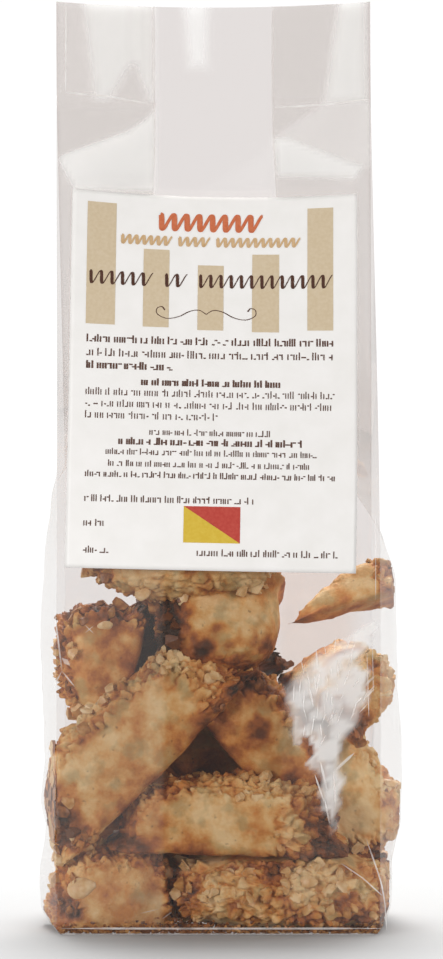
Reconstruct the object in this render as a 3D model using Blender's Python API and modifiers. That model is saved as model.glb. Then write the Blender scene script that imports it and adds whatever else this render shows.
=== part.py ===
"""A clear side-gusset bag of almond cookies, standing on its flat base, with a paper label on its front.

Metres, +Z up. The front faces -Y, and the bounding box stands centred on the origin.
"""

from math import atan2, cos, radians, sin, sqrt

import bmesh
import bpy
from mathutils import Vector

MM = 0.001

# The film tube, folded flat: two plain panels and two side panels with a fold halfway
PANEL_WIDTH = 80.0 * MM
GUSSET_DEPTH = 50.0 * MM
FILLED_DEPTH = 48.0 * MM

# Heights of the standing bag
SHOULDER_HEIGHT = 95.0 * MM
SEAL_HEIGHT = 208.0 * MM
PINCH_HEIGHT = 190.0 * MM
BAG_HEIGHT = 234.4 * MM

# How far the filled film stands out from the flat panels
PANEL_SWELL = 3.5 * MM
SWELL_START = 9.0 * MM
BASE_EDGE_RADIUS = 1.6 * MM

# The swell of the left and right sides, as (millimetres up, millimetres out from the crease)
LEFT_SWELL = (
    (0, 2.6), (5, 5.2), (13, 5.3), (24, 3.9), (32, 5.2), (43, 3.9), (70, 5.2), (90, 4.2), (108, 2.5), (136, 0),
)
RIGHT_SWELL = ((0, 2.4), (6, 4.0), (16, 4.1), (27, 6.7), (37, 6.9), (62, 5.7), (86, 5.2), (106, 0))

# Where each side panel starts to fold inwards, and where the fold has its full depth
LEFT_FOLD = (106.0 * MM, 138.0 * MM)
RIGHT_FOLD = (97.0 * MM, 126.0 * MM)
GROOVE_FADE = 6.0 * MM
GROOVE_TOP = 204.0 * MM

# Above the contents the panels draw together into a thin tail
TAIL_THICKNESS = 1.2 * MM
CREASE_LIP = 0.4 * MM
SHOULDER_SOFTNESS = 5.0 * MM
TOP_EDGE_DIP = 1.5 * MM
TOP_LEAN = 1.3 * MM

# The paper label on the front panel
LABEL_WIDTH = 72.0 * MM
LABEL_LENGTH = 98.0 * MM
LABEL_BOTTOM = 90.2 * MM
LABEL_SIDE_SHIFT = -1.0 * MM
LABEL_TURN = radians(-1.2)
LABEL_SAG = 1.8 * MM
LABEL_THICKNESS = 0.3 * MM
LABEL_GAP = 0.35 * MM

# How finely the curved surfaces are divided
PANEL_STEPS = 14
GUSSET_STEPS = 5
LABEL_COLUMNS = 16
LABEL_ROWS = 22
STATION_SPACING = 6.5 * MM
BASE_EDGE_STEPS = 4

FILM_COLOUR = (0.76, 0.72, 0.69, 1.0)
PAPER_COLOUR = (0.87, 0.84, 0.81, 1.0)


def smooth_step(low, high, value):
    """0 below low, 1 above high, and an even ease between."""
    share = min(max((value - low) / (high - low), 0.0), 1.0)
    return share * share * (3 - 2 * share)


def soft_minimum(first, second, softness):
    """The smaller of two values, rounded off where they cross."""
    share = max(softness - abs(first - second), 0.0) / softness
    return min(first, second) - share * share * softness / 4


def eased_profile(points, height):
    """The value at a height of a profile of (millimetres up, millimetres out) points, eased between them."""
    height_mm = height / MM
    if height_mm <= points[0][0]:
        return points[0][1] * MM
    for (low, start), (high, end) in zip(points, points[1:]):
        if height_mm <= high:
            return (start + (end - start) * smooth_step(low, high, height_mm)) * MM
    return points[-1][1] * MM


def crease_half_depth(height):
    """Half the distance between the front and back panels at their side creases."""
    tail = TAIL_THICKNESS / 2
    rise = (SEAL_HEIGHT - height) / (SEAL_HEIGHT - SHOULDER_HEIGHT)
    ramp = tail + (FILLED_DEPTH / 2 - tail) * rise
    return max(soft_minimum(FILLED_DEPTH / 2, ramp, SHOULDER_SOFTNESS), tail)


def middle_half_depth(height):
    """Half the distance between the panels halfway across: swollen by the contents, pinched together above."""
    tail = TAIL_THICKNESS / 2
    filled = FILLED_DEPTH / 2 + PANEL_SWELL * smooth_step(0, SWELL_START, height)
    rise = (PINCH_HEIGHT - height) / (PINCH_HEIGHT - SHOULDER_HEIGHT)
    ramp = tail + (FILLED_DEPTH / 2 + PANEL_SWELL - tail) * rise
    return max(soft_minimum(filled, ramp, SHOULDER_SOFTNESS), tail)


def panel_depth(across, height):
    """How far a panel stands from the bag's middle plane, at across = -1 to 1 between its creases."""
    edge, middle = crease_half_depth(height), middle_half_depth(height)
    return middle + (edge - middle) * across * across


def gusset_inset(fold, height):
    """How far the inner fold of a side panel lies inside the creases, above the contents."""
    half_panel = GUSSET_DEPTH / 2
    inset = sqrt(max(half_panel**2 - crease_half_depth(height) ** 2, 0.0))
    fading = 1 - smooth_step(GROOVE_TOP - GROOVE_FADE, GROOVE_TOP, height)
    return inset * smooth_step(*fold, height) * fading


def panel_points(side, height):
    """One panel's points from the left crease to the right one, on side -1 (front) or 1 (back)."""
    points = []
    for step in range(PANEL_STEPS + 1):
        across = 2 * step / PANEL_STEPS - 1
        points.append((across * PANEL_WIDTH / 2, side * panel_depth(across, height)))
    return points


def gusset_points(swell_profile, fold, height):
    """A right-hand side panel from its front crease over the inner fold to its back crease."""
    reach = max(crease_half_depth(height) - CREASE_LIP, CREASE_LIP / 2)
    swell = eased_profile(swell_profile, height)
    inset = gusset_inset(fold, height)
    points = []
    for step in range(-GUSSET_STEPS, GUSSET_STEPS + 1):
        outward = abs(step) / GUSSET_STEPS
        out = swell * (1 - outward**2) - inset * (1 - outward)
        points.append((PANEL_WIDTH / 2 + out, step / GUSSET_STEPS * reach))
    return points


def bag_section(height):
    """The bag's outline at one height, anticlockwise from the front left crease."""
    front = panel_points(-1, height)
    right = gusset_points(RIGHT_SWELL, RIGHT_FOLD, height)
    back = panel_points(1, height)[::-1]
    left = [(-x, -y) for x, y in gusset_points(LEFT_SWELL, LEFT_FOLD, height)]
    outline = front + right + back + left
    rounding = max(BASE_EDGE_RADIUS - height, 0.0)
    drawn_in = BASE_EDGE_RADIUS - sqrt(BASE_EDGE_RADIUS**2 - rounding**2)
    width_scale = 1 - drawn_in / (PANEL_WIDTH / 2)
    depth_scale = 1 - drawn_in / (FILLED_DEPTH / 2)
    return [(x * width_scale, y * depth_scale) for x, y in outline]


def station_heights():
    """Heights of the lofted sections: close together round the base edge, then evenly up to the top."""
    heights = [
        BASE_EDGE_RADIUS * (1 - cos(radians(90) * step / BASE_EDGE_STEPS))
        for step in range(BASE_EDGE_STEPS)
    ]
    spaces = round((BAG_HEIGHT - BASE_EDGE_RADIUS) / STATION_SPACING)
    for step in range(spaces + 1):
        heights.append(BASE_EDGE_RADIUS + (BAG_HEIGHT - BASE_EDGE_RADIUS) * step / spaces)
    return sorted(heights + [GROOVE_TOP - GROOVE_FADE / 2, GROOVE_TOP])


def tail_shift(across, height):
    """The top edge dips between its corners, and the tail leans a little to the left."""
    share = max(height - SEAL_HEIGHT, 0.0) / (BAG_HEIGHT - SEAL_HEIGHT)
    lean = -TOP_LEAN * smooth_step(SHOULDER_HEIGHT, BAG_HEIGHT, height)
    return lean, -TOP_EDGE_DIP * (1 - across * across) * share


def new_object(name, mesh_builder, material, collection):
    mesh = bpy.data.meshes.new(name)
    bmesh.ops.recalc_face_normals(mesh_builder, faces=mesh_builder.faces)
    mesh_builder.to_mesh(mesh)
    mesh_builder.free()
    mesh.materials.append(material)
    mesh.shade_smooth()
    mesh.set_sharp_from_angle(angle=radians(35))
    built = bpy.data.objects.new(name, mesh)
    collection.objects.link(built)
    return built


def build_bag(collection):
    """The closed bag as one solid, lofted through its sections from the base to the top edge."""
    shape = bmesh.new()
    rings = []
    for height in station_heights():
        ring = []
        for x, y in bag_section(height):
            lean, dip = tail_shift(min(abs(x) / (PANEL_WIDTH / 2), 1.0), height)
            ring.append(shape.verts.new((x + lean, y, height + dip)))
        rings.append(ring)
    for lower, upper in zip(rings, rings[1:]):
        for corner in range(len(lower)):
            following = (corner + 1) % len(lower)
            shape.faces.new((lower[corner], lower[following], upper[following], upper[corner]))
    shape.faces.new(rings[0][::-1])
    shape.faces.new(rings[-1])
    film = plain_material("clear_film", FILM_COLOUR, roughness=0.12)
    return new_object("bag", shape, film, collection)


def label_point(across, up):
    """Where a point of the label lies on the front panel, with across and up from 0 to 1."""
    half_fill, tail = FILLED_DEPTH / 2, TAIL_THICKNESS / 2
    lean_back = atan2(half_fill - tail, SEAL_HEIGHT - SHOULDER_HEIGHT)
    side, rise = (across - 0.5) * LABEL_WIDTH, (up - 0.5) * LABEL_LENGTH
    x = LABEL_SIDE_SHIFT + side * cos(LABEL_TURN) - rise * sin(LABEL_TURN)
    z = (side * sin(LABEL_TURN) + rise * cos(LABEL_TURN)) * cos(lean_back)
    z += LABEL_BOTTOM + LABEL_LENGTH * cos(lean_back) / 2
    share = x / (PANEL_WIDTH / 2)
    z -= LABEL_SAG * up * up * (1 - share * share)
    lean, _ = tail_shift(share, z)
    return Vector((x + lean, -panel_depth(share, z) - LABEL_GAP, z))


def build_label(collection):
    """A sheet of paper that follows the front panel, as an open grid given its thickness."""
    shape = bmesh.new()
    bmesh.ops.create_grid(shape, x_segments=LABEL_COLUMNS, y_segments=LABEL_ROWS, size=0.5)
    for vert in shape.verts:
        vert.co = label_point(vert.co.x + 0.5, vert.co.y + 0.5)
    bmesh.ops.recalc_face_normals(shape, faces=shape.faces)
    paper = plain_material("white_paper", PAPER_COLOUR, roughness=0.55)
    label = new_object("label", shape, paper, collection)
    if label.data.polygons[0].normal.y > 0:
        label.data.flip_normals()
    thickness = label.modifiers.new("paper thickness", "SOLIDIFY")
    thickness.thickness = LABEL_THICKNESS
    thickness.offset = 1.0
    return label


def plain_material(name, colour, roughness):
    material = bpy.data.materials.new(name)
    material.use_nodes = True
    surface = material.node_tree.nodes["Principled BSDF"]
    surface.inputs["Base Color"].default_value = colour
    surface.inputs["Roughness"].default_value = roughness
    surface.inputs["Metallic"].default_value = 0.0
    material.diffuse_color = colour
    return material


def centre_over_origin(objects):
    """Shifts the meshes sideways so that the box round all of them is centred on the vertical axis."""
    bpy.context.view_layer.update()
    graph = bpy.context.evaluated_depsgraph_get()
    corners = [Vector(corner) for built in objects for corner in built.evaluated_get(graph).bound_box]
    middle = Vector((
        (min(c.x for c in corners) + max(c.x for c in corners)) / 2,
        (min(c.y for c in corners) + max(c.y for c in corners)) / 2,
        0.0,
    ))
    for built in objects:
        for vert in built.data.vertices:
            vert.co -= middle


def main():
    for leftover in list(bpy.data.objects):
        bpy.data.objects.remove(leftover, do_unlink=True)
    collection = bpy.data.collections.new("almond_cookie_bag")
    bpy.context.scene.collection.children.link(collection)
    bag = build_bag(collection)
    label = build_label(collection)
    centre_over_origin([bag, label])


main()
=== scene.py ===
from functools import partial
from math import atan2, cos, pi, radians, sin, sqrt
from random import Random

import bmesh
import bpy
import numpy as np
from mathutils import Matrix, Vector, noise
from mathutils.bvhtree import BVHTree


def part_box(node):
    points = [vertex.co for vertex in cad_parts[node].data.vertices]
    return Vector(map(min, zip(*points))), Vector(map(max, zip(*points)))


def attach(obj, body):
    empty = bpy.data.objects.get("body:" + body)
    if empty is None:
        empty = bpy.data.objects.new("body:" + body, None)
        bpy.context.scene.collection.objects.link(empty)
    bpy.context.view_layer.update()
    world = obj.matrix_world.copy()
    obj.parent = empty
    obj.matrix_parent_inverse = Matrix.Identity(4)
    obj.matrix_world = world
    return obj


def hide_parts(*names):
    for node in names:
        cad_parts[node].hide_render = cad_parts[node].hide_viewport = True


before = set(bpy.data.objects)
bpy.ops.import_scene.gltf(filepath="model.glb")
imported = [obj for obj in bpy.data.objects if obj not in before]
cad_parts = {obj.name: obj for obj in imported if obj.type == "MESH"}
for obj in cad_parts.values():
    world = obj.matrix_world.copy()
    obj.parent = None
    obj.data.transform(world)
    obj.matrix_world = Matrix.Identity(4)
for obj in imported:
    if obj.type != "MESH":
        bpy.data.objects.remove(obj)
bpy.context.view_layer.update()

MM = 0.001
bag_low, bag_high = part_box("bag")


# The bag is a tube of clear cast polypropylene film, 40 microns thick, with a pleat down each side.
# Its foot is folded to a flat block and its mouth is welded across, with a short tail left above.
# The contents push the lower part out, and above them the panels draw together.
panel_width, gusset_depth, filled_depth = 80 * MM, 50 * MM, 48 * MM
half_width, half_depth = panel_width / 2, filled_depth / 2
shoulder_height, pinch_height, weld_height, bag_height = 95 * MM, 190 * MM, 208 * MM, 234.4 * MM
panel_swell, swell_start, base_edge_radius = 3.5 * MM, 9 * MM, 1.6 * MM
tail_thickness, crease_lip, shoulder_softness = 1.2 * MM, 0.3 * MM, 5 * MM
top_edge_dip, top_lean = 1.5 * MM, 1.3 * MM
# How far each side swells out, as (millimetres up, millimetres out), and where its pleat folds in
left_swell = ((0, 2.6), (5, 5.2), (13, 5.3), (24, 3.9), (32, 5.2), (43, 3.9), (70, 5.2), (90, 4.2),
              (108, 2.5), (136, 0))
right_swell = ((0, 2.4), (6, 4.0), (16, 4.1), (27, 6.7), (37, 6.9), (62, 5.7), (86, 5.2), (106, 0))
left_fold, right_fold = (106 * MM, 138 * MM), (97 * MM, 126 * MM)
panel_columns, pleat_columns, film_rows, base_edge_rows = 80, 24, 236, 5

left_most, right_most = [max(out for _, out in swell) * MM for swell in (left_swell, right_swell)]
film_shift = Vector(((bag_low[0] + bag_high[0] + left_most - right_most) / 2, 0, 0))


def smooth_step(low, high, value):
    """0 below low, 1 above high, and an even ease between."""
    share = min(max((value - low) / (high - low), 0.0), 1.0)
    return share * share * (3 - 2 * share)


def soft_minimum(first, second, softness):
    share = max(softness - abs(first - second), 0.0) / softness
    return min(first, second) - share * share * softness / 4


def eased_profile(points, height):
    """The value at a height of a profile of (millimetres up, millimetres out), eased between its points."""
    if height / MM <= points[0][0]:
        return points[0][1] * MM
    for (low, start), (high, end) in zip(points, points[1:]):
        if height / MM <= high:
            return (start + (end - start) * smooth_step(low, high, height / MM)) * MM
    return points[-1][1] * MM


def crease_half_depth(height):
    """Half the distance between the front and back panels at their side creases."""
    tail = tail_thickness / 2
    rise = (weld_height - height) / (weld_height - shoulder_height)
    ramp = tail + (half_depth - tail) * rise
    return max(soft_minimum(half_depth, ramp, shoulder_softness), tail)


def middle_half_depth(height):
    """Half the distance between the panels halfway across."""
    tail = tail_thickness / 2
    filled = half_depth + panel_swell * smooth_step(0, swell_start, height)
    rise = (pinch_height - height) / (pinch_height - shoulder_height)
    ramp = tail + (half_depth + panel_swell - tail) * rise
    return max(soft_minimum(filled, ramp, shoulder_softness), tail)


def panel_depth(across, height):
    """How far a panel stands from the bag's middle plane, at across = -1 to 1 between its creases."""
    edge, middle = crease_half_depth(height), middle_half_depth(height)
    return middle + (edge - middle) * across * across


def pleat_inset(fold, height):
    """How far the inner fold of a side pleat lies inside the creases, above the contents."""
    half_panel = gusset_depth / 2
    inset = sqrt(max(half_panel**2 - crease_half_depth(height) ** 2, 0.0))
    return inset * smooth_step(*fold, height)


def side_reach(swell, fold, height, turn):
    """How far a side stands out past its creases at turn = -1 to 1 across it, below 0 if it folds in."""
    return eased_profile(swell, height) * (1 - turn * turn) - pleat_inset(fold, height) * (1 - abs(turn))


def base_rounding(height):
    """How far the film is drawn in where it rounds into the flat foot."""
    below = max(base_edge_radius - height, 0.0)
    return base_edge_radius - sqrt(max(base_edge_radius**2 - below**2, 0.0))


def tail_shift(across, height):
    """The top edge dips between its corners, and the tail leans a little to the left."""
    share = max(height - weld_height, 0.0) / (bag_height - weld_height)
    lean = -top_lean * smooth_step(shoulder_height, bag_height, height)
    return lean, -top_edge_dip * (1 - across * across) * share


def film_row_height(share):
    """Heights of the film's rows: close together round the base edge, then evenly up to the top."""
    edge_share = base_edge_rows / film_rows
    if share < edge_share:
        return base_edge_radius * (1 - cos(pi / 2 * share / edge_share))
    return base_edge_radius + (bag_height - base_edge_radius) * (share - edge_share) / (1 - edge_share)


def film_place(column, height):
    """Where a column of the film tube passes at one height, with which way is outwards there."""
    pleat_depth = max(crease_half_depth(height) - crease_lip, crease_lip / 2)
    back_start = panel_columns + 2 * pleat_columns
    if column <= panel_columns:
        across = 2 * column / panel_columns - 1
        x, y, outwards = across * half_width, -panel_depth(across, height), (0, -1, 0)
    elif column <= back_start:
        turn = (column - panel_columns) / pleat_columns - 1
        x = half_width + side_reach(right_swell, right_fold, height, turn)
        y, outwards = turn * pleat_depth, (1, 0, 0)
    elif column <= back_start + panel_columns:
        across = 1 - 2 * (column - back_start) / panel_columns
        x, y, outwards = across * half_width, panel_depth(across, height), (0, 1, 0)
    else:
        turn = 1 - (column - back_start - panel_columns) / pleat_columns
        x = -half_width - side_reach(left_swell, left_fold, height, turn)
        y, outwards = turn * pleat_depth, (-1, 0, 0)
    drawn_in = base_rounding(height)
    lean, dip = tail_shift(min(abs(x) / half_width, 1.0), height)
    x, y = x * (1 - drawn_in / half_width), y * (1 - drawn_in / half_depth)
    return Vector((x + lean, y, height + dip)), Vector(outwards)


# The label's place on the front panel, given here because the film can't wrinkle under it
label_width, label_length, label_bottom = 72 * MM, 98 * MM, 90.2 * MM
label_side_shift, label_turn = -1.0 * MM, radians(-1.2)
label_sag, label_gap = 1.8 * MM, 0.12 * MM
label_lean = atan2(half_depth - tail_thickness / 2, weld_height - shoulder_height)


def label_point(across, up, lift=0.0):
    """A point on the label's back at across and up from 0 to 1, or lifted off it."""
    side, rise = (across - 0.5) * label_width, (up - 0.5) * label_length
    x = label_side_shift + side * cos(label_turn) - rise * sin(label_turn)
    z = (side * sin(label_turn) + rise * cos(label_turn)) * cos(label_lean)
    z += label_bottom + label_length * cos(label_lean) / 2
    share = x / half_width
    z -= label_sag * up * up * (1 - share * share)
    lean, _ = tail_shift(share, z)
    return Vector((x + lean, -panel_depth(share, z) - label_gap - lift, z)) + film_shift


def under_label(place):
    """1 where the stiff label holds the film flat, fading to 0 a few millimetres outside it."""
    across = abs(place.x - label_side_shift) / (label_width / 2)
    up = (place.z - label_bottom) / (label_length * cos(label_lean))
    beside = 1 - smooth_step(1.0, 1.12, across)
    return beside * smooth_step(-0.06, 0.0, up) * (1 - smooth_step(1.0, 1.06, up))


# Where the film stands out over the cookies: across, up, half width, half height and rise in millimetres
pillows = ((24, 40, 17, 21, 0.8), (26, 22, 9, 20, 0.8))
facet_pitch, facet_slope, deepest_hollow = 8.5 * MM, 0.06, -0.25
# One seed for the warp of the film's facets and, further down, of the almond crust
noise.seed_set(4)


def layered_noise(place, *layers, shift=(0, 0, 0)):
    """Noise summed over layers of (height, wave length in millimetres)."""
    return sum(height * noise.noise(place / (length * MM) + Vector(shift)) for height, length in layers)


def tilted_cell(warped, spread):
    """Of the cell round a point: how its tilted face rises there, how far its edge is, and its seed."""
    distances, seeds = noise.voronoi(warped)
    tilt = noise.cell_vector(seeds[0] * spread) - Vector((0.5, 0.5, 0.5))
    return (warped - seeds[0]).dot(tilt), distances[1] - distances[0], seeds[0]


def film_relief(place, outwards):
    """How far the film is pushed out by the cookies inside it and by its own wrinkles."""
    filled = 1 - smooth_step(shoulder_height, shoulder_height + 15 * MM, place.z)
    filled *= smooth_step(2 * MM, 12 * MM, place.z)
    lumps = layered_noise(place, (0.45, 19), (0.05, 3.5)) + layered_noise(place, (0.15, 8), shift=(5, 0, 0))
    warped = place / facet_pitch + 0.35 * noise.noise_vector(place / (14 * MM))
    rise, edge, _ = tilted_cell(warped, 41.3)
    facets = 2 * facet_slope * rise * smooth_step(0.0, 0.3, edge) * facet_pitch / MM
    swell = 0.0
    if outwards[1] < 0:
        for x, z, half_across, half_up, height in pillows:
            gap = ((place.x / MM - x) / half_across) ** 2 + ((place.z / MM - z) / half_up) ** 2
            swell += height * max(1 - gap, 0.0) ** 2
    slack = smooth_step(weld_height, bag_height, place.z)
    ripples = 0.4 * noise.noise(Vector((place.x / (11 * MM), place.y / (20 * MM), place.z / (60 * MM))))
    relief = (max(lumps + facets, deepest_hollow) + swell) * filled + ripples * slack
    return relief * MM * (1 - under_label(place))


# Patches of painted light on the film, as (corners of a convex patch in millimetres across and up,
# strength, softness of its edge): painted shade on the pleats, and painted sheen and shade on the panels
# where those bend. A patch with a strength above 0 adds white haze as painted sheen, and one below 0
# takes the haze away as painted shade.
painted_pleat_shade = (
    (((-42, 208), (-17, 206), (-17, 203), (-23, 199), (-42, 192)), -0.06, 1),
    (((-22.5, 220), (-16.8, 209), (-28.6, 209)), -0.08, 1.5),
    (((13, 236), (30, 236), (27, 209), (13, 209)), -0.08, 2),
    (((13, 207.5), (25, 208.5), (13, 200.5)), -0.08, 1),
)
painted_panel_light = (
    (((-35.8, 240), (-22.5, 240), (-22.5, 220), (-29, 209), (-31.9, 209)), 0.40, 2.4),
    (((-22.5, 240), (-17.2, 240), (-17.2, 207), (-18.5, 209), (-22.5, 220)), 0.32, 1.8),
    (((-41.7, 194.9), (-17.2, 206.9), (-17.2, 186), (-37, 186)), 0.50, 1.1),
    (((-42, 209), (-17, 208), (-17.2, 206.9), (-19, 204.4), (-23.6, 201.3), (-32.6, 198), (-41.7, 194.9)),
     -0.50, 1.1),
    (((30.9, 240), (36.2, 240), (36.4, 208.8), (26.5, 208.8)), 0.44, 2.2),
    (((13.5, 199.4), (16.5, 199.4), (35.6, 192.1), (33.8, 189.4), (14.6, 190)), 0.54, 1.2),
    (((26, 208), (40, 208), (40, 191), (14.3, 200.5)), 0.14, 1.2),
    (((-10.3, 240), (-3.4, 240), (-4, 218), (-8, 218)), 0.32, 2.2),
    (((-4, 186), (14, 198), (14, 186)), 0.06, 3),
    (((-44, 110), (-14.7, 110), (-14.7, 3), (-44, 3)), 0.05, 0.3),
    (((14.9, 110), (44, 110), (44, 3), (14.9, 3)), 0.02, 0.4),
)
# Painted glare where the front is crumpled over a cookie, given the same way, and a patch of painted
# shade on the inside of the back, where the gap behind the cookies looks shaded
painted_glare = (
    (((16.5, 61.5), (24, 69.5), (33.5, 70.5), (36.2, 64), (36, 58.5), (31.5, 50.5), (26, 44),
      (18, 50.5)), 0.86, 1.2),
    (((20.5, 50), (29, 47), (29.4, 36), (27.6, 26.4), (25.4, 31), (22.4, 41)), 0.95, 0.8),
    (((26, 71), (37.2, 77.5), (37.2, 71), (33.5, 69.5)), 0.75, 0.6),
)
# How milky the pleats are near the top and along the sides, partly from their layers and partly as painted
# sheen from the pale side light, how milky the panels are, the least that the painted glare is broken down
# to, and the most haze and sheen anywhere
pleat_top_sheen, pleat_side_sheen, panel_haze, faintest_glare, most_haze_and_sheen = 0.13, 0.18, 0.02, 0.62, 0.95
# The corners of a brownish patch of painted shade on the inside of the back film, where the gap behind the
# cookies at the right looks shaded, and its greatest strength
shaded_gap, deepest_gap_shade = ((14, 96), (34, 96), (36, 48), (14, 48)), 0.3


def inside_patch(corners, x, z, softness):
    """1 inside a convex patch whose corners run clockwise, fading to 0 at its edge."""
    depths = []
    for (x0, z0), (x1, z1) in zip(corners, corners[1:] + corners[:1]):
        run, rise = x1 - x0, z1 - z0
        depths.append(((z0 - z) * run - (x0 - x) * rise) / sqrt(run * run + rise * rise))
    return smooth_step(-softness, softness, min(depths))


def film_looks(column, place):
    """How much white haze and painted sheen the film has at a point of a column, how much painted
    shade lies on it, and whether it is part of a pleat.
    """
    front, pleats = column <= panel_columns, 2 * panel_columns + 2 * pleat_columns
    in_pleat = not front and (column < panel_columns + 2 * pleat_columns or column > pleats)
    x, z = (place + film_shift).x / MM, place.z / MM
    # Above the contents the pleats are milky, with painted sheen, less of it near the top
    haze_and_sheen = pleat_side_sheen * smooth_step(85, 110, z) + (pleat_top_sheen - pleat_side_sheen) * smooth_step(165, 190, z)
    haze_and_sheen = haze_and_sheen if in_pleat else panel_haze
    for corners, strength, softness in painted_pleat_shade if in_pleat else painted_panel_light:
        haze_and_sheen += strength * inside_patch(corners, x, z, softness)
    if front:
        # On the front the painted glare is broken up by noise and given ragged edges
        glare_breakup = min(max(0.9 + layered_noise(place, (0.9, 4.5), (0.7, 2)), faintest_glare), 1.0)
        ragged = layered_noise(place, (2.4, 3))
        for corners, strength, softness in painted_glare:
            haze_and_sheen += strength * glare_breakup * inside_patch(corners, x + ragged, z + ragged, softness)
    painted_shade = 0.0 if front or in_pleat else deepest_gap_shade * inside_patch(shaded_gap, x, z, 4.0)
    return min(max(haze_and_sheen, 0.0), most_haze_and_sheen), painted_shade, float(in_pleat)


def linear(colour):
    """The linear red, green and blue of an sRGB hex colour."""
    parts = [int(colour[start:start + 2], 16) / 255 for start in (1, 3, 5)]
    return tuple(p / 12.92 if p <= 0.04045 else ((p + 0.055) / 1.055) ** 2.4 for p in parts) + (1.0,)


def add_node(tree, kind, inputs=None, stops=(), **settings):
    """A shader node: its settings, its inputs as values or as the sockets that feed them, where a node
    stands for its first output, and a ramp's stops."""
    node = tree.nodes.new("ShaderNode" + kind)
    for name, value in settings.items():
        setattr(node, name, value)
    for name, value in (inputs or {}).items():
        value = value.outputs[0] if isinstance(value, bpy.types.Node) else value
        if isinstance(value, bpy.types.NodeSocket):
            tree.links.new(value, node.inputs[name])
        else:
            node.inputs[name].default_value = value
    for number, (position, colour) in enumerate(stops):
        ramp = node.color_ramp.elements
        stop = ramp[number] if number < len(ramp) else ramp.new(position)
        stop.position, stop.color = position, linear(colour)
    return node


def new_material(name):
    """An empty material, what adds a node to it, and where a point of the piece lies."""
    material = bpy.data.materials.new(name)
    material.use_nodes = True
    material.node_tree.nodes.clear()
    node = partial(add_node, material.node_tree)
    return material, node, node("TexCoord").outputs["Object"]


def finish_mesh(mesh, material, sharp_angle=None):
    """The object of a finished mesh, at the origin, smooth except where it turns sharply."""
    mesh.shade_smooth()
    if sharp_angle is not None:
        mesh.set_sharp_from_angle(angle=radians(sharp_angle))
    mesh.materials.append(material)
    piece = bpy.data.objects.new(mesh.name, mesh)
    bpy.context.scene.collection.objects.link(piece)
    return piece


def finish_piece(name, shape, material, sharp_angle=None):
    """The object of a finished bmesh, made the same way."""
    mesh = bpy.data.meshes.new(name)
    shape.to_mesh(mesh)
    shape.free()
    return finish_mesh(mesh, material, sharp_angle)


film_layers = ("haze_and_sheen", "painted_shade", "pleated")

# Clear polypropylene: it mirrors a few per cent straight on and more at a glance, greys what is behind
# it a little, and looks milky where its layers stand apart. Painted sheen and glare are mixed into
# that milky haze, and a brownish patch on the inside of the back is painted shade.
film_material, node, _ = new_material("clear polypropylene film")
haze_and_sheen, painted_shade, pleated = [node("Attribute", attribute_name=layer).outputs["Fac"] for layer in film_layers]
# The pleats are set clearer than the panels as painted light, since they are seen at a slant against the
# pale light from the side
tint = node("Mix", {"Factor": pleated, 6: linear("#F3F0EF"), 7: linear("#FCFBFA")}, data_type="RGBA")
clear = node("BsdfTransparent", {"Color": tint.outputs[2]})
# A brownish translucence on the back film is painted shade
gap_shade = node("BsdfTranslucent", {"Color": linear("#B89A86")})
gap_shaded = node("MixShader", {0: painted_shade, 1: clear, 2: gap_shade})
lit = node("BsdfDiffuse", {"Color": linear("#F9FAF9")})
backlit = node("BsdfTranslucent", {"Color": linear("#F9FAF9")})
haze = node("MixShader", {0: 0.3, 1: lit, 2: backlit})
# The haze attribute mixes in white haze: the film's own milkiness, and the painted sheen and glare
milk_and_sheen = node("MixShader", {0: haze_and_sheen, 1: gap_shaded, 2: haze})
mirror = node("BsdfGlossy", {"Roughness": 0.06})
glance = node("Fresnel", {"IOR": 1.6})
most = node("Math", {0: glance, 1: 0.2}, operation="MINIMUM")
surface = node("MixShader", {0: most, 1: milk_and_sheen, 2: mirror})
node("OutputMaterial", {"Surface": surface})

tube_columns = 2 * panel_columns + 4 * pleat_columns
tube = bmesh.new()
look_layers = [tube.verts.layers.float.new(layer) for layer in film_layers]
bmesh.ops.create_grid(tube, x_segments=tube_columns, y_segments=film_rows, size=0.5)
for vert in tube.verts:
    column = round((vert.co.x + 0.5) * tube_columns)
    place, outwards = film_place(column, film_row_height(vert.co.y + 0.5))
    for layer, amount in zip(look_layers, film_looks(column, place)):
        vert[layer] = amount
    vert.co = place + film_shift + outwards * film_relief(place, outwards)
bmesh.ops.remove_doubles(tube, verts=tube.verts, dist=0.02 * MM)
foot = [edge for edge in tube.edges if edge.is_boundary and max(v.co.z for v in edge.verts) < 0.5 * MM]
bmesh.ops.contextual_create(tube, geom=foot)
bmesh.ops.recalc_face_normals(tube, faces=tube.faces)
film = finish_piece("film_bag", tube, film_material, sharp_angle=40)
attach(film, "root")
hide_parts("bag")


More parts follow.
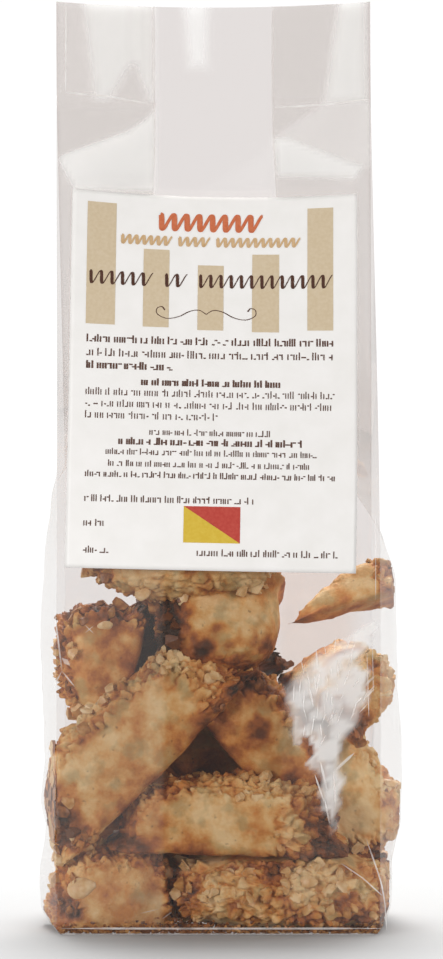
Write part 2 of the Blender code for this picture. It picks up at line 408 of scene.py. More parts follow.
# Sharp creases whiten the film, so they show as fine pale lines. They come from folding, filling and
# welding the bag, and each is a narrow ridge of the film, on the front or along a pleat's inner fold.
# Some lines on the front are painted glints and highlights instead: the X at the left, the streaks in
# and below the glare at the right, the two vertical lines beside it and the short lines near the foot.
# Those on the front, as (width, points of across and up), in millimetres
front_creases_and_glints = (
    (0.4, ((-41.1, 79), (-39.4, 65.4))), (0.35, ((-39.4, 65.4), (-41.9, 60.8))),
    (0.4, ((-39.4, 65.4), (-36.2, 61.5))), (1.4, ((-39.4, 68.6), (-37.4, 66.8))),
    (0.2, ((-33.7, 76.8), (-31.4, 74.6))), (0.2, ((-33.6, 74.9), (-31.6, 76.6))),
    (0.35, ((35.7, 24), (38.2, 17), (39.5, 13), (40.4, 8), (40.8, 1.4))),
    (0.3, ((29.5, 18.1), (35, 14.2), (39.8, 9.8))), (0.7, ((32.7, 45.2), (27.7, 40.8))),
    (0.6, ((24.4, 43), (26, 36))), (0.5, ((27.6, 40.5), (28, 32.5))),
    (0.45, ((25.4, 34), (26.6, 28))), (0.4, ((23, 40), (25.2, 33.5))),
    (0.2, ((38.1, 104), (38.1, 83))), (0.3, ((-39.6, 233), (-39.7, 211.5))),
    (0.4, ((-39.6, 211.2), (-28.4, 210.2), (-17.6, 208.2))),
    (0.4, ((13.6, 207.4), (26.4, 208.1), (37.8, 209.6))),
    (0.15, ((-20, 5.8), (-15.6, 6.9))), (0.2, ((-14.6, 4.4), (-12.2, 6.2))),
    (0.25, ((35.9, 70), (36.4, 54))), (0.2, ((37.3, 71), (37.5, 60))),
    (0.5, ((-39.5, 1.8), (39.5, 1.8))),
)
# Those of the pleats, as (side, where the pleat folds in, from how far up, to how far up)
fold_creases = ((-1, left_fold, 187, 233.4), (1, right_fold, 191, 233.4))
fold_crease_width = 0.45

# Polypropylene whitened by a sharp fold: milky and still glossy. The painted glints are made of it too.
crease_material, node, place = new_material("whitened film crease")
broken = node("TexNoise", {"Vector": place, "Scale": 1 / (5 * MM), "Detail": 1.0})
white = node("ValToRGB", {"Fac": broken}, stops=((0.35, "#F1EAE4"), (0.65, "#FBF9F7")))
milk = node("BsdfPrincipled", {"Base Color": white, "Roughness": 0.3})
clear = node("BsdfTransparent")
shown = node("MapRange", {"Value": broken, "From Min": 0.3, "From Max": 0.7, "To Min": 0.3, "To Max": 0.6})
surface = node("MixShader", {0: shown, 1: clear, 2: milk})
node("OutputMaterial", {"Surface": surface})


def crease_ribbon(sheet, points, width, lay):
    """A narrow ridge along a line of points, laid on the film by a function of across and up."""
    line = [Vector(point) for point in points]
    lengths = [0.0]
    for first, second in zip(line, line[1:]):
        lengths.append(lengths[-1] + (second - first).length)
    steps = max(2, int(lengths[-1] / 1.5))
    for vert in bmesh.ops.create_grid(sheet, x_segments=2, y_segments=steps, size=0.5)["verts"]:
        share = vert.co.y + 0.5
        at = share * lengths[-1]
        leg = max(i for i in range(len(line) - 1) if lengths[i] <= at)
        run = (line[leg + 1] - line[leg]) / (lengths[leg + 1] - lengths[leg])
        taper = min(1.0, 0.15 + 6 * min(share, 1 - share))
        middle = line[leg] + run * (at - lengths[leg])
        middle += Vector((-run.y, run.x)) * vert.co.x * width * taper
        ridge = 0.15 * width * taper * (1 - 2 * abs(vert.co.x))
        vert.co = lay(middle.x * MM, middle.y * MM, (0.1 + ridge) * MM)


def on_front_film(x, z, lift):
    """A point of the front film at across and up, lifted off it."""
    place = Vector((x - film_shift.x, -panel_depth(x / half_width, z), z))
    place.y -= film_relief(place, (0, -1, 0)) + lift
    return place + film_shift


def on_pleat_fold(side, fold, x, z, lift):
    """A point on the inner fold of a pleat, lifted off its front."""
    edge = side * (half_width - pleat_inset(fold, z)) + tail_shift(0.5, z)[0]
    return Vector((edge + x, -0.2 * MM - lift, z)) + film_shift


creases = bmesh.new()
for width, points in front_creases_and_glints:
    crease_ribbon(creases, points, width, on_front_film)
# Small sharp folds in the crumpled part, fanning out from its foot, as painted glint streaks in the glare
draw = Random(5)
fan_foot, fan_folds = Vector((22, 36)), 70
for _ in range(fan_folds):
    start = Vector((draw.uniform(17, 36), draw.uniform(46, 70)))
    if inside_patch(painted_glare[0][0], start.x, start.y, 1.0) < 0.5:
        continue
    away = (start - fan_foot).normalized() * draw.uniform(1.5, 5.0)
    bend = Vector((-away.y, away.x)) * draw.uniform(-0.35, 0.35)
    line = (start, start + away / 2 + bend / 2, start + away + bend)
    crease_ribbon(creases, line, draw.uniform(0.15, 0.5), on_front_film)
for side, fold, low, high in fold_creases:
    crease_ribbon(creases, ((0, low), (0, high)), fold_crease_width, partial(on_pleat_fold, side, fold))
bmesh.ops.recalc_face_normals(creases, faces=creases.faces)
crease_lines = finish_piece("film_creases", creases, crease_material)
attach(crease_lines, "root")


# The cookies are small loaves of almond paste: a flat foot, a domed back and blunt ends, rolled in chopped
# almond before baking. Their sides stay smooth and pale, and brown towards the foot and the ends.
# They lie as they fell into the bag, and where they touch the film it holds them flat.

# Those that show through the front, as (letter, middle, length with height and thickness, the way that the
# length points, the way that the domed back points, how brown it is, how thick the almond lies on the two
# ends and the back, dark marks as (along, up, radius, strength), how much narrower the first end is).
# The dark marks are scorched spots, except those along h's lower edge, which are painted shade.
front_cookies = (
    ("a", (-28.3, -10, 10.6), (29, 23, 24), (0.95, 0.3, 0), (0, -0.25, 1), 0.31, (0.9, 0.9, 0.8)),
    ("b", (14.6, -12.6, 9.8), (53, 25, 21), (1, 0, -0.01), (0, -1, 0.06), 0.2, (1, 1, 1.3)),
    ("c", (1.4, -14.2, 29.3), (53, 18.5, 20), (1, 0, -0.02), (0, -0.2, 1), 0.23, (0.5, 1.7, 0.9),
     ((-20, -2, 8, 0.2), (-8, -6, 7, 0.1))),
    ("d", (31.4, 0, 35.6), (36, 21, 19), (0.5, 0.1, -0.84), (0.84, -0.2, 0.5), 0.07, (0.3, 1, 0.7)),
    ("e", (-24.2, -15, 47.8), (60, 23, 20), (-0.7, 0, -0.71), (-0.71, -0.16, 0.7), 0.17,
     (1.3, 1.2, 0.9), ((22, 2, 7, 0.3), (4, -8, 9, 0.12), (-14, -8, 9, 0.15))),
    ("f", (12.6, -8, 48.5), (42, 20, 21), (0.62, 0.2, -0.76), (0.75, -0.25, 0.6), 0.42, (0.9, 0.5, 0.8),
     ((-6, 1, 4.2, 0.32), (-10, -6, 10, 0.12))),
    ("g", (-33.2, -8.5, 66.2), (30, 21, 20), (0.24, 0.1, 0.97), (-1, -0.2, 0.2), 0.26, (0.6, 1.1, 0.9),
     ((11, 0, 9, 0.3),), 0.45),
    # h's marks at 13 and 14 up paint shade along its lower edge; the one at its left end is its dark crust
    ("h", (-0.8, -10, 75.6), (31, 24, 22), (0.99, 0.05, 0.03), (0, -0.5, -0.87), 0.2, (1.3, 0, 0.2),
     ((-14, 1, 9, 0.5), (-10, 13, 12, 0.35), (0, 14, 12, 0.3), (10, 14, 12, 0.35)), 0),
    ("i", (-8.6, -15.5, 93.6), (49, 21, 19), (0.99, 0, 0.08), (0.1, -0.35, -1), 0.2, (1, 0, 0.5)),
    ("j", (30.8, -6, 85.2), (30, 12, 13), (0.95, 0.22, 0.22), (-0.2, 0.4, 0.85), 0.17, (0, 1.6, 0.2),
     (), 0.9),
    ("k", (31.2, 2, 60.4), (34, 22, 20), (0.3, -0.95, -0.1), (0.75, 0.05, 0.65), 0.16, (0.5, 0.6, 0.6),
     ((6, 6, 5, 0.4),)),
)
# Those behind them
back_cookies = (
    ("l", (-3, 8, 44), (54, 24, 21), (0.72, 0, -0.69), (0.6, 0.2, 0.7), 0.36),
    ("m", (-9, 11, 70), (42, 25, 22), (0.96, 0, 0.2), (0, 0.3, 1), 0.5),
    ("n", (-8, 13, 11.5), (54, 23, 21), (1, 0.05, 0), (0, 0.6, 0.8), 0.3),
    ("o", (-5.5, 10, 95), (36, 22, 20), (0.99, 0.1, -0.05), (0, 0.5, 0.9), 0.26),
    ("p", (27, 13.5, 12), (33, 22, 21), (0.95, -0.2, 0), (0, 0.5, 0.9), 0.3),
    ("q", (-15.5, 13, 31), (46, 23, 20), (0.97, 0.1, 0.1), (0, 0.6, 0.8), 0.34),
    ("r", (12, 13.5, 31), (34, 22, 20), (0.9, 0.2, 0.1), (0, 0.7, 0.7), 0.32),
)
film_clearance, foot_share = 0.6 * MM, 0.26
bit_pitch, bit_height = 3.2 * MM, 1.6 * MM
lump_waves = ((0.8, 15), (0.6, 6), (0.2, 2.2), (0.07, 0.9))
bit_waves, ragged_waves = ((0.5, 1.3), (0.3, 0.7)), ((0.22, 5), (0.12, 2.4))


def keep_inside(place, clearance=film_clearance):
    """The point moved inwards where it would come through the film."""
    local = place - film_shift
    height = min(max(local.z, clearance), bag_height)
    drawn_in = base_rounding(height)
    depth = panel_depth(min(max(local.x / half_width, -1.0), 1.0), height) - clearance - drawn_in
    y = min(max(local.y, -depth), depth)
    turn = min(abs(y) / crease_half_depth(height), 1.0)
    margin = half_width - clearance - drawn_in
    left = -margin - side_reach(left_swell, left_fold, height, turn)
    right = margin + side_reach(right_swell, right_fold, height, turn)
    return Vector((min(max(local.x, left), right), y, height)) + film_shift


def loaf_point(unit):
    """Where a direction from its middle meets a loaf of half length, height and thickness 1, y up."""
    plump = 2.7 + 2.3 * smooth_step(0.0, 0.5, -unit.y)
    ring = (abs(unit.x) ** plump + abs(unit.z) ** 2.6) ** (1 / 2.6)
    body = unit / (ring**plump + abs(unit.y) ** plump) ** (1 / plump)
    up = body.y * (1 - foot_share) if body.y > 0 else body.y * foot_share
    return Vector((body.x, 2 * (up + foot_share) - 1, body.z))


def almond_cover(coat, body, seat):
    """How thick the chopped almond lies at a point of a cookie."""
    ragged = layered_noise(seat, *ragged_waves)
    amount = coat[2] * smooth_step(0.42, 0.72, body.y + ragged - 0.35 * abs(body.z) ** 3)
    for end, thickness in ((-body.x, coat[0]), (body.x, coat[1])):
        amount += min(thickness, 1) * smooth_step(0.66, 0.84, end + ragged + 0.5 * max(thickness - 1, 0))
    return min(amount, 1.0) * smooth_step(-1.0, -0.8, body.y)


def bake_cookie(material, subdivisions, letter, centre, size, along, top, toast, coat=(1, 1, 1), marks=(),
                taper=0.12):
    """One cookie, with its lumps, the almond baked into it and how brown each point is, painted shade
    included.
    """
    shape = bmesh.new()
    bmesh.ops.create_icosphere(shape, subdivisions=subdivisions, radius=1.0)
    browning_and_shade = shape.verts.layers.float.new("browning_and_shade")
    cover = shape.verts.layers.float.new("almond_cover")
    centre, half = Vector(centre), Vector(size) / 2 * MM
    along, top = Vector(along).normalized(), Vector(top)
    top = (top - along * top.dot(along)).normalized()
    axes = Matrix((along, top, along.cross(top))).transposed()
    for vert in shape.verts:
        unit = vert.co.normalized()
        body = loaf_point(unit)
        narrow = 1 - taper * ((1 - body.x) / 2) ** 2
        place = Vector((body.x * half.x, ((body.y + 1) * narrow - 1) * half.y, body.z * half.z * narrow))
        seat = place + centre * 1.7 * MM
        thick = almond_cover(coat, body, seat)
        warped = seat / bit_pitch + 0.45 * noise.noise_vector(seat / (2.4 * MM))
        rise, edge, seed = tilted_cell(warped, 57.1)
        luck = noise.cell_vector(seed * 31.7)
        bit = (0.45 + 0.7 * luck.x + 1.2 * rise) * smooth_step(0.0, 0.4, edge)
        bit += layered_noise(seat, *bit_waves)
        place += unit * (layered_noise(seat, *lump_waves) * MM + bit * bit_height * thick)
        patchy = layered_noise(seat, (1, 10), shift=(7, 3, 1)) + layered_noise(seat, (0.5, 4))
        rim = smooth_step(0.55, 1.0, abs(body.x)) + smooth_step(0.3, 0.95, -body.y)
        baked = toast + 0.38 * patchy + 0.2 * rim * (1 - 0.5 * thick)
        clumps = layered_noise(seat, (0.2, 6), shift=(0, 11, 4))
        # The almond toasts more than the dough, each bit a little differently, and the grooves between the
        # bits are darkened as painted shade
        baked += thick * (0.12 + 0.26 * (luck.y - 0.5) + clumps + 0.16 * (1 - smooth_step(0.0, 0.3, edge)))
        # Dark marks: scorched spots, and along h's lower edge painted shade
        for x, y, radius, strength in marks:
            gap = sqrt((place.x / MM - x) ** 2 + (place.y / MM - y) ** 2) / radius
            baked += strength * (1 - smooth_step(0.35, 1.0, gap + layered_noise(seat, (0.3, 3))))
        vert[browning_and_shade] = baked
        vert[cover] = thick
        vert.co = keep_inside(centre * MM + axes @ place)
    bmesh.ops.recalc_face_normals(shape, faces=shape.faces)
    return finish_piece("cookie_" + letter, shape, material)


# Baked almond paste: a dry matt crumb, cream where pale and orange brown where toasted, with grey
# green shadows of ground almond and dark specks of its skin.
dough_material, node, place = new_material("baked almond dough")
# How brown the dough is, with the painted shade of its grooves and marks
browning_and_shade = node("Attribute", attribute_name="browning_and_shade").outputs["Fac"]
mottle = node("TexNoise", {"Vector": place, "Scale": 1 / (4 * MM), "Detail": 6.0, "Roughness": 0.65})
swing = node("MapRange", {"Value": mottle, "From Min": 0.3, "From Max": 0.7, "To Min": -0.18,
                          "To Max": 0.18})
tone = node("Math", {0: browning_and_shade, 1: swing}, operation="ADD")
crumb = node("ValToRGB", {"Fac": tone}, stops=(
    (0.05, "#EACA94"), (0.25, "#DDAC69"), (0.42, "#CA853C"), (0.58, "#A45D26"), (0.75, "#6E3A17"),
    (0.95, "#38200F")))
skin = node("TexNoise", {"Vector": place, "Scale": 1 / (6 * MM), "Detail": 3.0})
grey = node("MapRange", {"Value": skin, "From Min": 0.52, "From Max": 0.64, "To Max": 0.45})
pale = node("MapRange", {"Value": tone, "From Min": 0.3, "From Max": 0.6, "To Min": 1.0, "To Max": 0.1})
faded = node("Math", {0: grey, 1: pale}, operation="MULTIPLY")
greyed = node("Mix", {"Factor": faded, 6: crumb, 7: linear("#8F8252")}, data_type="RGBA")
specks = node("TexNoise", {"Vector": place, "Scale": 1 / (1.3 * MM), "Detail": 1.0})
dark = node("MapRange", {"Value": specks, "From Min": 0.7, "From Max": 0.78, "To Max": 0.45})
speckled = node("Mix", {"Factor": dark, 6: greyed.outputs[2], 7: linear("#4A2F1A")}, data_type="RGBA")
grit = node("TexNoise", {"Vector": place, "Scale": 1 / (0.9 * MM), "Detail": 5.0, "Roughness": 0.7})
relief = node("Bump", {"Height": grit, "Strength": 0.6, "Distance": 0.3 * MM})
surface = node("BsdfPrincipled", {
    "Base Color": speckled.outputs[2], "Roughness": 0.58, "Specular IOR Level": 0.4,
    "Subsurface Weight": 0.06, "Subsurface Radius": (0.0025, 0.0012, 0.0006), "Normal": relief})
node("OutputMaterial", {"Surface": surface})

baked_cookies = []
for rows, subdivisions in ((front_cookies, 7), (back_cookies, 6)):
    for row in rows:
        baked = bake_cookie(dough_material, subdivisions, *row)
        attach(baked, "root")
        baked_cookies.append(baked)


# Chopped almond sticks to the dough's backs and ends: flat sided chips of blanched nut, 1 to 4 mm across.
# They are rolled on before baking, so each is sunk into the dough a little and toasted with it.
# Sizes are half widths in millimetres.
chips_per_square_mm, smallest_chip, largest_chip, chip_sunk = 0.05, 0.6, 2.2, 0.3


def points_and_corners(shape):
    """The points, and each triangle's corners, of a small shape that is copied many times."""
    bmesh.ops.recalc_face_normals(shape, faces=shape.faces)
    points = np.array([vert.co for vert in shape.verts])
    corners = np.array([[vert.index for vert in face.verts] for face in shape.faces])
    shape.free()
    return points, corners


def chopped_chip(seed):
    """One chip: a block of nut with its corners cut off by flat cuts."""
    draw = Random(seed)
    shape = bmesh.new()
    bmesh.ops.create_cube(shape, size=2.0)
    for _ in range(11):
        facing = Vector([draw.gauss(0, 1) for _ in range(3)]).normalized()
        everything = shape.verts[:] + shape.edges[:] + shape.faces[:]
        cut = bmesh.ops.bisect_plane(shape, geom=everything, plane_co=facing * draw.uniform(0.7, 0.98),
                                     plane_no=facing, clear_outer=True)
        rim = [item for item in cut["geom_cut"] if isinstance(item, bmesh.types.BMEdge)]
        if rim:
            bmesh.ops.contextual_create(shape, geom=rim)
    flat = Vector((draw.uniform(0.9, 1.15), draw.uniform(0.7, 0.95), draw.uniform(0.42, 0.65)))
    bmesh.ops.scale(shape, vec=flat, verts=shape.verts)
    bmesh.ops.triangulate(shape, faces=shape.faces)
    return points_and_corners(shape)


def joined_copies(name, kinds, placements, material):
    """One mesh of many small copies. Each placement is (which kind, matrix, tone)."""
    points, corners, tones, count = [], [], [], 0
    for kind, matrix, tone in placements:
        own_points, own_corners = kinds[kind]
        matrix = np.array(matrix)
        points.append(own_points @ matrix[:3, :3].T + matrix[:3, 3])
        corners.append(own_corners + count)
        tones.append(np.full(len(own_points), tone))
        count += len(own_points)
    inside = [keep_inside(Vector(point), 0.35 * MM) for point in np.concatenate(points)]
    mesh = bpy.data.meshes.new(name)
    mesh.from_pydata(inside, [], np.concatenate(corners))
    mesh.attributes.new("browning_and_shade", "FLOAT", "POINT").data.foreach_set("value", np.concatenate(tones))
    return finish_mesh(mesh, material, sharp_angle=42)


# Blanched almond, toasted: ivory cut faces going gold and brown where the oven caught them, a bit waxy.
nut_material, node, place = new_material("toasted chopped almond")
# How brown each bit is: chips take it from the dough they lie on, painted shade included
browning_and_shade = node("Attribute", attribute_name="browning_and_shade").outputs["Fac"]
grain = node("TexNoise", {"Vector": place, "Scale": 1 / (1.6 * MM), "Detail": 3.0})
swing = node("MapRange", {"Value": grain, "From Min": 0.3, "From Max": 0.7, "To Min": -0.16,
                          "To Max": 0.16})
tone = node("Math", {0: browning_and_shade, 1: swing}, operation="ADD")
nut = node("ValToRGB", {"Fac": tone}, stops=(
    (0.05, "#E8CB9B"), (0.25, "#D9B077"), (0.45, "#C58F4C"), (0.65, "#9F642F"), (0.85, "#6B3D1B")))
relief = node("Bump", {"Height": grain, "Strength": 0.5, "Distance": 0.25 * MM})
surface = node("BsdfPrincipled", {
    "Base Color": nut, "Roughness": 0.42, "Subsurface Weight": 0.1,
    "Subsurface Radius": (0.002, 0.0012, 0.0007), "Normal": relief})
node("OutputMaterial", {"Surface": surface})


def surface_of(piece):
    """Each face's middle, normal and area, and its mean almond cover and browning with painted shade."""
    mesh, count = piece.data, len(piece.data.polygons)
    columns = []
    for source, width in (("center", 3), ("normal", 3), ("area", 1)):
        values = np.empty(count * width)
        mesh.polygons.foreach_get(source, values)
        columns.append(values.reshape(count, width))
    corners = np.empty(len(mesh.loops), int)
    mesh.loops.foreach_get("vertex_index", corners)
    for layer in ("almond_cover", "browning_and_shade"):
        values = np.empty(len(mesh.vertices))
        mesh.attributes[layer].data.foreach_get("value", values)
        columns.append(values[corners.reshape(count, 3)].mean(axis=1))
    return columns


def turned_to(facing, turn):
    """The rotation of a flat bit that lies on a face, turned about that face's normal."""
    return Vector((0, 0, 1)).rotation_difference(facing).to_matrix() @ Matrix.Rotation(turn, 3, "Z")


chip_kinds = [chopped_chip(seed) for seed in range(12)]
chip_placements = []
for number, baked in enumerate(baked_cookies):
    draw = Random(100 + number)
    middles, normals, areas, covers, tones = surface_of(baked)
    total = np.cumsum(areas[:, 0] * covers**2)
    for _ in range(int(total[-1] / (MM * MM) * chips_per_square_mm)):
        face = int(np.searchsorted(total, draw.random() * total[-1]))
        size = (smallest_chip + (largest_chip - smallest_chip) * draw.random() ** 2) * MM
        facing = Vector(normals[face])
        spin = turned_to(facing, draw.uniform(0, 2 * pi)) @ Matrix.Rotation(draw.gauss(0, 0.3), 3, "X")
        where = Vector(middles[face]) - facing * size * chip_sunk
        tone = tones[face] + draw.uniform(-0.10, 0.06)
        placement = Matrix.LocRotScale(where, spin, Vector((size,) * 3))
        chip_placements.append((draw.randrange(len(chip_kinds)), placement, tone))
chips = joined_copies("chopped_almond", chip_kinds, chip_placements, nut_material)
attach(chips, "root")


# A few larger slices of almond lie flat on the cookies, where they stuck to the dough or came loose.
# Each is a thin oval cut across a blanched nut, so it is paler than the chips.
def sliced_flake(seed):
    """One slice: a thin pointed oval with a soft rim, bent over what it lies on."""
    draw = Random(seed)
    shape = bmesh.new()
    bmesh.ops.create_icosphere(shape, subdivisions=3, radius=1.0)
    offset = Vector([draw.uniform(0, 50) for _ in range(3)])
    for vert in shape.verts:
        x, y, z = vert.co
        outline = 1 + 0.16 * noise.noise(Vector((x, y, 0)) * 1.6 + offset)
        half_thick = 0.13 * (1 - (1 - abs(z)) ** 3) * (1 if z > 0 else -1)
        bend = 0.18 - 0.25 * (x * x + y * y) + 0.10 * noise.noise(Vector((x, y, 0)) * 2.5 + offset)
        vert.co = Vector((x * outline, y * (0.72 - 0.20 * x) * outline, half_thick + bend))
    return points_and_corners(shape)


flake_kinds = [sliced_flake(seed) for seed in range(4)]
cookie_trees = []
for baked in baked_cookies:
    vertices, triangles = baked.data.vertices, baked.data.polygons
    cookie_trees.append(BVHTree.FromPolygons([v.co for v in vertices], [t.vertices for t in triangles]))
# Across, up, length and turn in degrees of each slice, as seen from the front
front_flakes = (
    (-19.4, 85.2, 5.6, 65), (-29, 76, 4.4, 40), (-36.6, 24.6, 4.6, -50), (-34.6, 11.4, 7.2, 12),
    (-2.5, 63.5, 4.2, 30), (21.5, 13.5, 4.6, -20), (-10, 83, 4.6, 10),
)
back_flakes = (
    (-14, 40, 5.4, 20), (16, 22, 5, -35), (4, 68, 5.2, 60), (-22, 14, 4.8, -10), (26, 58, 4.6, 35),
)
flake_placements = []
draw = Random(31)
for side, flakes in ((-1, front_flakes), (1, back_flakes)):
    for x, z, length, turn in flakes:
        start = Vector((x * MM, side * 40 * MM, z * MM))
        hits = [tree.ray_cast(start, Vector((0, -side, 0))) for tree in cookie_trees]
        where, facing = min((hit for hit in hits if hit[0]), key=lambda hit: hit[3])[:2]
        facing = (facing + Vector((0, 1.5 * side, 0))).normalized()
        size = Vector((length / 2 * MM,) * 3)
        placement = Matrix.LocRotScale(where, turned_to(facing, radians(turn)), size)
        flake_placements.append((draw.randrange(len(flake_kinds)), placement, draw.uniform(0.08, 0.28)))
flakes = joined_copies("sliced_almond", flake_kinds, flake_placements, nut_material)
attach(flakes, "root")


# Crumbs have rubbed off the cookies while the bag was filled and carried. They are bits of toasted dough
# and nut, and lie as a thin bed along the foot of the bag, dark and dense enough to stand in as painted
# shade along the foot as well.
crumb_count, crumb_and_shade_bed = 3400, 0.6 * MM
crumb_placements = []
draw = Random(47)
for _ in range(crumb_count):
    size = draw.uniform(0.2, 0.65) * MM
    deep = draw.choice((-1, -1, 1)) * draw.triangular(2, 24.5, 24)
    where = Vector((draw.uniform(-40, 41) * MM, deep * MM, draw.expovariate(1 / crumb_and_shade_bed) + size))
    spin = Matrix.Rotation(draw.uniform(0, pi), 3, "X") @ Matrix.Rotation(draw.uniform(0, pi), 3, "Z")
    placement = Matrix.LocRotScale(where, spin, Vector((size,) * 3))
    # Dark tones, so that the bed also paints the shade along the foot
    crumb_placements.append((draw.randrange(len(chip_kinds)), placement, draw.uniform(0.45, 0.95)))
crumbs = joined_copies("crumbs", chip_kinds, crumb_placements, nut_material)
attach(crumbs, "root")


# The label is white coated paper, stuck to the front film, so it follows the panel as that leans back.
# It is offset printed with beige bars, headings, a scroll, lines of small type and a two-coloured panel.

# Matt coated paper: bright, with a faint cloudiness of fibre and almost no shine.
paper_material, node, place = new_material("white coated paper")
fibre = node("TexNoise", {"Vector": place, "Scale": 1 / (6 * MM), "Detail": 6.0})
white = node("ValToRGB", {"Fac": fibre}, stops=((0.3, "#F5F2EE"), (0.7, "#FAF7F4")))
relief = node("Bump", {"Height": fibre, "Strength": 0.1, "Distance": 0.1 * MM})
surface = node("BsdfPrincipled", {"Base Color": white, "Roughness": 0.5, "Normal": relief})
node("OutputMaterial", {"Surface": surface})


def ink_material(name, colour, pale):
    """Offset ink on coated paper: even, with a trace of the paper showing through it as a fine mottle."""
    material, node, place = new_material(name)
    mottle = node("TexNoise", {"Vector": place, "Scale": 1 / (0.8 * MM), "Detail": 3.0})
    ink = node("ValToRGB", {"Fac": mottle}, stops=((0.35, colour), (0.75, pale)))
    print_layer = node("BsdfPrincipled", {"Base Color": ink, "Roughness": 0.4})
    node("OutputMaterial", {"Surface": print_layer})
    return material


paper_thickness, ink_lift = 0.12 * MM, 0.05 * MM
sheet = bmesh.new()
bmesh.ops.create_grid(sheet, x_segments=60, y_segments=80, size=0.5)
for vert in sheet.verts:
    vert.co = label_point(vert.co.x + 0.5, vert.co.y + 0.5)
bmesh.ops.recalc_face_normals(sheet, faces=sheet.faces)
paper = finish_piece("label_paper", sheet, paper_material, sharp_angle=40)
if paper.data.polygons[0].normal.y > 0:
    paper.data.flip_normals()
wall = paper.modifiers.new("paper thickness", "SOLIDIFY")
wall.thickness, wall.offset = paper_thickness, 1.0
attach(paper, "root")
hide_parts("label")


def on_label(across, down, coats=1):
    """A point of the print, in millimetres from the label's top left corner, on so many coats of ink."""
    lift = paper_thickness + coats * ink_lift
    return label_point(across * MM / label_width, 1 - down * MM / label_length, lift)


def printed_block(sheet, left, top, width, height, steps=1):
    """A block of ink, placed the same way."""
    rows = max(1, round(height / 2))
    for vert in bmesh.ops.create_grid(sheet, x_segments=steps, y_segments=rows, size=0.5)["verts"]:
        vert.co = on_label(left + (vert.co.x + 0.5) * width, top + (0.5 - vert.co.y) * height)


def print_piece(name, sheet, material):
    """The finished piece of one ink, with every face to the front."""
    for face in sheet.faces:
        face.normal_update()
        if face.normal.y > 0:
            face.normal_flip()
    piece = finish_piece(name, sheet, material)
    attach(piece, "root")


# Five beige bars as (left, width, top, bottom), tall at the sides and short in the middle
bars = ((3.9, 7.3, 3, 35.4), (18.2, 6.5, 14.8, 35.6), (31.9, 6.5, 18.7, 36.1), (45.6, 6.8, 15.6, 36.4),
        (59.5, 6.5, 3.3, 35.9))
beige = bmesh.new()
for left, width, top, bottom in bars:
    printed_block(beige, left, top, width, bottom - top, steps=6)
print_piece("print_bars", beige, ink_material("beige offset ink", "#D3BF9F", "#DAC8AC"))


def printed_stroke(sheet, path, steps, thin, thick):
    """A pen stroke over the bars along a path of shares 0 to 1, thick where it runs down the label."""
    for vert in bmesh.ops.create_grid(sheet, x_segments=1, y_segments=steps, size=0.5)["verts"]:
        share = vert.co.y + 0.5
        run = (path(min(share + 0.002, 1.0)) - path(max(share - 0.002, 0.0))).normalized()
        width = thin + (thick - thin) * max(run.y, 0.0) ** 2
        place = path(share) + Vector((-run.y, run.x)) * vert.co.x * width
        vert.co = on_label(place.x, place.y, coats=2)


def wave(left, right, middle, rise, pitch, share):
    """The point at a share of a wave that leans to the right."""
    swing = rise * cos(2 * pi * max(1, round((right - left) / pitch)) * share)
    return Vector((left + (right - left) * share + 0.25 * swing, middle - swing))


# Headings, each a few plain waves of a broad pen, as (name, ink, thin, thick, half height, pitch, how far
# down its middle is, where its waves start and end)
headings = (
    ("print_heading", ("orange red offset ink", "#CC6B45", "#D67F58"), 0.8, 1.4, 2.1, 3.2, 7.2,
     ((21.8, 47.6),)),
    ("print_subheading", ("tan offset ink", "#D2AD7F", "#DABA92"), 0.5, 0.85, 1.15, 1.9, 12.4,
     ((12.4, 25), (26.8, 34.6), (36.4, 57.4))),
    ("print_title", ("dark brown offset ink", "#4E3025", "#5F4034"), 0.25, 0.8, 1.7, 2.6, 23,
     ((4.4, 20.2), (23.4, 28.8), (32, 65.4))),
)
for name, ink, thin, thick, rise, pitch, middle, spans in headings:
    heading = bmesh.new()
    for left, right in spans:
        path = partial(wave, left, right, middle, rise, pitch)
        printed_stroke(heading, path, round(10 * (right - left)), thin, thick)
    print_piece(name, heading, ink_material(*ink))


def curve_through(points, share):
    """The point at a share of a smooth curve through points."""
    leg = min(int(share * (len(points) - 1)), len(points) - 2)
    at = share * (len(points) - 1) - leg
    before, first, second, after = [points[min(max(leg + i, 0), len(points) - 1)] for i in (-1, 0, 1, 2)]
    bend = (2 * before - 5 * first + 4 * second - after) * at**2
    bend += (3 * first - before - 3 * second + after) * at**3
    return first + ((second - before) * at + bend) / 2


# A plain scroll under them, alike to both sides, as (across from its middle, down)
scroll_middle = 34.1
half_scroll = ((0, 31.9), (1.8, 30.8), (4.2, 31.2), (6.8, 32.6), (9.8, 33.2), (12.2, 32.2), (12.4, 30.7),
               (11.2, 30.1), (10.4, 31))
scroll = bmesh.new()
for side in (-1, 1):
    points = [Vector((scroll_middle + side * across, down)) for across, down in half_scroll]
    printed_stroke(scroll, partial(curve_through, points), 90, 0.2, 0.4)
print_piece("print_scroll", scroll, ink_material("dark brown scroll ink", "#4E3025", "#5F4034"))


def printed_line(sheet, left, right, top, height, weight, draw):
    """A line of short strokes, grouped as small type is."""
    at = left
    while at < right:
        for _ in range(draw.randint(2, 9)):
            if at + weight > right:
                return
            rise = draw.choice((0.0, 0.0, 0.0, 0.35))
            if draw.random() < 0.3:
                drop = draw.choice((0.0, 0.4, 0.75)) * height
                printed_block(sheet, at, top + drop, 1.8 * weight, 0.25 * height)
            else:
                printed_block(sheet, at, top - rise * height, weight, height * (1 + rise))
            at += draw.uniform(0.36, 0.52) * height
        at += 0.5 * height


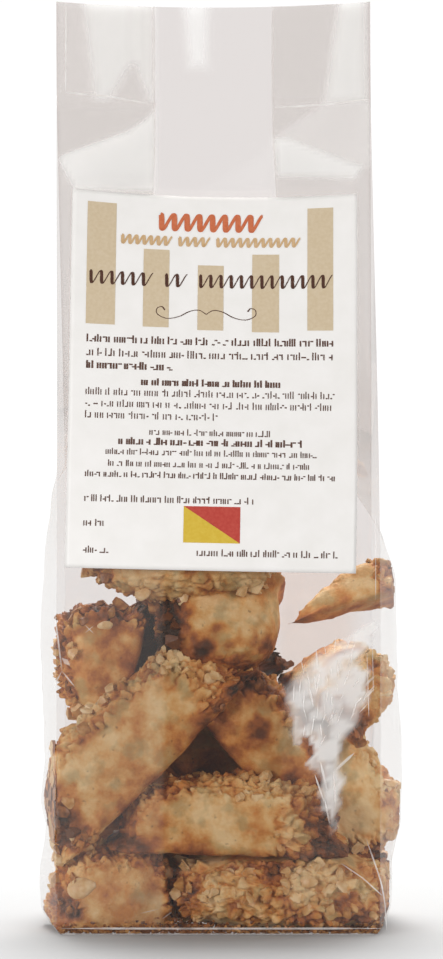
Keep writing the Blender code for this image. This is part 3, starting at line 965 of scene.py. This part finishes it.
# Small type, as (left, right, down from the top edge, height of a stroke, its weight)
type_lines = (
    (4.2, 66.4, 38.6, 1.5, 0.405), (4.2, 66.4, 42.2, 1.5, 0.324), (4.2, 25.5, 45.5, 1.5, 0.486),
    (18, 53, 49.6, 1.4, 0.486), (4.2, 66.6, 52.4, 1.4, 0.27), (4.2, 66.6, 55.4, 1.4, 0.27),
    (4.2, 37, 58.4, 1.4, 0.27), (20.3, 50.6, 62.6, 1.2, 0.27), (12.6, 58.6, 65, 1.4, 0.459),
    (9.5, 62, 67.8, 1.2, 0.27), (10.2, 61, 70.8, 1.2, 0.27), (4.5, 67, 73.6, 1.2, 0.297),
    (4.5, 46.5, 79.8, 1.3, 0.297), (4.4, 10, 86, 1.3, 0.297), (4.5, 11.2, 92.8, 1.3, 0.297),
    (32.6, 67.2, 93, 1.3, 0.297),
)
small_type = bmesh.new()
type_strokes = Random(11)
for type_line in type_lines:
    printed_line(small_type, *type_line, type_strokes)
print_piece("print_small_type", small_type, ink_material("dark brown type ink", "#5B4036", "#6E5247"))

# The panel of two colours, halved from its top left to its bottom right corner
panel_left, panel_top, panel_across, panel_height = 29.2, 81.8, 14.0, 9.2
for name, ink, half in (("print_panel_yellow", ink_material("yellow offset ink", "#D8B53C", "#DEC04C"), -1),
                        ("print_panel_red", ink_material("red offset ink", "#BC443A", "#C65448"), 1)):
    panel = bmesh.new()
    bmesh.ops.create_grid(panel, x_segments=8, y_segments=6, size=0.5)
    everything = panel.verts[:] + panel.edges[:] + panel.faces[:]
    bmesh.ops.bisect_plane(panel, geom=everything, plane_co=(0, 0, 0), plane_no=(-half, -half, 0),
                           clear_outer=True)
    for vert in panel.verts:
        across, down = (vert.co.x + 0.5) * panel_across, (0.5 - vert.co.y) * panel_height
        vert.co = on_label(panel_left + across, panel_top + down)
    print_piece(name, panel, ink)


# The studio is a grey sweep under the bag, which fades into a white backdrop that lights it from behind.
# Being grey near the bag and white further out, the sweep paints a soft shade round the bag's foot.
# A soft light stands in front at each side, and one above and behind makes the bag's shadow fall forwards.
sweep_shape = bmesh.new()
bmesh.ops.create_circle(sweep_shape, cap_ends=True, segments=96, radius=0.55)
sweep_material, node, place = new_material("white sweep")
grey_floor = node("BsdfDiffuse", {"Color": (0.46, 0.46, 0.46, 1)})
beyond = node("BsdfTransparent")
# The grey near the bag, fading out to the white backdrop, is painted shade round its foot
from_bag = node("VectorMath", {0: place}, operation="LENGTH")
shade_falloff = node("MapRange", {"Value": from_bag.outputs["Value"], "From Min": 0.03, "From Max": 0.16})
sweep = node("MixShader", {0: shade_falloff, 1: grey_floor, 2: beyond})
node("OutputMaterial", {"Surface": sweep})
floor = finish_piece("floor", sweep_shape, sweep_material)

world = bpy.data.worlds.new("studio")
bpy.context.scene.world = world
world.use_nodes = True
world.node_tree.nodes.clear()
node = partial(add_node, world.node_tree)
seen = node("LightPath").outputs["Is Camera Ray"]
direction = node("SeparateXYZ", {0: node("TexCoord").outputs["Generated"]})
behind = node("MapRange", {"Value": direction.outputs["Y"], "From Min": 0.05, "From Max": 0.65,
                           "To Min": 0.14})
strength = node("Mix", {"Factor": seen, 2: behind, 3: 1.05}, data_type="FLOAT")
glow = node("Background", {"Color": (1, 1, 1, 1), "Strength": strength})
node("OutputWorld", {"Surface": glow})

# Each light as (name, place, what it points at, how wide it is, power), in metres and watts
soft_lights = (
    ("left_softbox", (-0.82, -0.72, 0.22), (0, 0, 0.08), 0.45, 8.6),
    ("right_softbox", (0.84, -0.70, 0.26), (0, 0, 0.06), 0.45, 6.6),
    ("top_softbox", (0.0, 0.34, 0.76), (0, 0, 0.02), 0.5, 12),
)
for name, place, target, width, power in soft_lights:
    light = bpy.data.lights.new(name, "AREA")
    light.energy, light.size = power, width
    lamp = bpy.data.objects.new(name, light)
    bpy.context.scene.collection.objects.link(lamp)
    lamp.location = place
    lamp.rotation_euler = (Vector(target) - Vector(place)).to_track_quat("-Z", "Y").to_euler()

camera_data = bpy.data.cameras.new("camera")
camera_data.lens, camera_data.sensor_width = 117.9, 36
camera = bpy.data.objects.new("camera", camera_data)
bpy.context.scene.collection.objects.link(camera)
camera.location = (0, -0.8, 0.1127)
camera.rotation_euler = (pi / 2, 0, 0)
bpy.context.scene.camera = camera
bpy.context.scene.view_settings.view_transform = "Standard"
bpy.context.scene.cycles.transparent_max_bounces = 24
